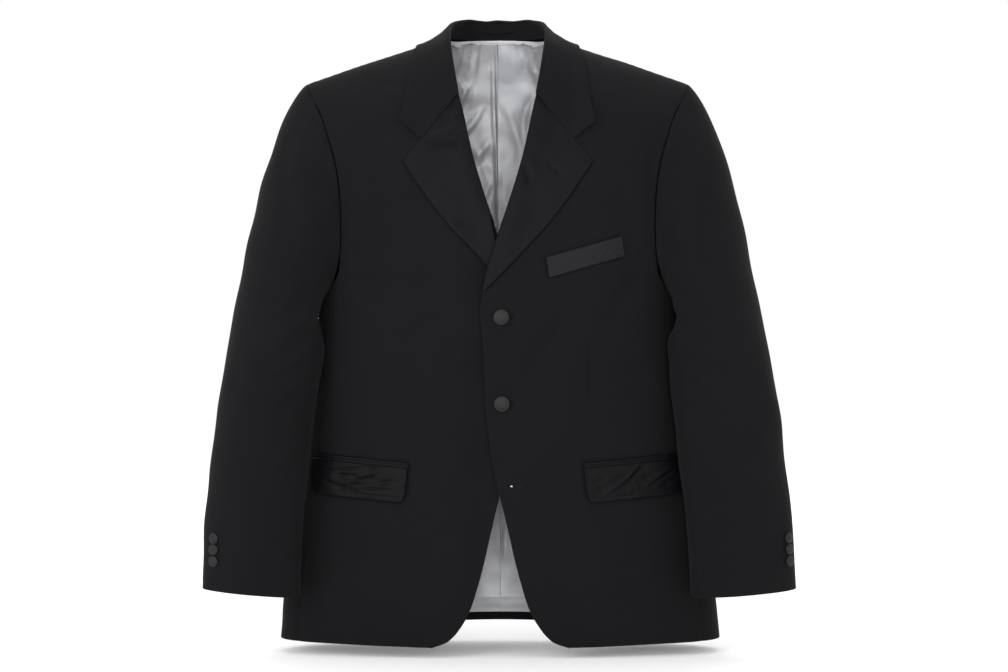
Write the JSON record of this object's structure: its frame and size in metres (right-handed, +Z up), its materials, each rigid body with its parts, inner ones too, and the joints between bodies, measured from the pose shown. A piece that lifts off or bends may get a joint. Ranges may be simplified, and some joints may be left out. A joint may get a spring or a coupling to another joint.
{
  "type": "tuxedo jacket",
  "caption": "Black tuxedo jacket, upright and filled out with no wearer: satin notch lapels, welt and flaps, covered buttons, silver back lining.",
  "frame": {"origin": "middle of the neck opening, about a collar stand's height below the top of the collar, where the wearer holds the jacket up", "axes": "+Z up, the front faces -Y, +X to the wearer's left"},
  "size_m": [0.7588, 0.2213, 0.827],
  "materials": {
    "wool": "matte",
    "satin": "satin",
    "lining": "satin",
    "covered_button": "satin"
  },
  "bodies": {
    "root": {"front_left": "wool", "front_right": "wool", "side_panel_left": "wool", "side_panel_right": "wool", "back_left": "wool", "back_right": "wool", "top_sleeve_left": "wool", "top_sleeve_right": "wool", "under_sleeve_left": "wool", "under_sleeve_right": "wool", "collar_fall": "wool", "collar_stand": "wool", "lapel_left": "satin", "lapel_right": "satin", "chest_welt": "satin", "pocket_jet_left": "satin", "pocket_jet_right": "satin", "pocket_flap_left": "satin", "pocket_flap_right": "satin", "lining_left": "lining", "lining_right": "lining", "front_button_upper": "covered_button", "front_button_lower": "covered_button", "cuff_button_left_1": "covered_button", "cuff_button_left_2": "covered_button", "cuff_button_left_3": "covered_button", "cuff_button_right_1": "covered_button", "cuff_button_right_2": "covered_button", "cuff_button_right_3": "covered_button"}
  },
  "joints": []
}
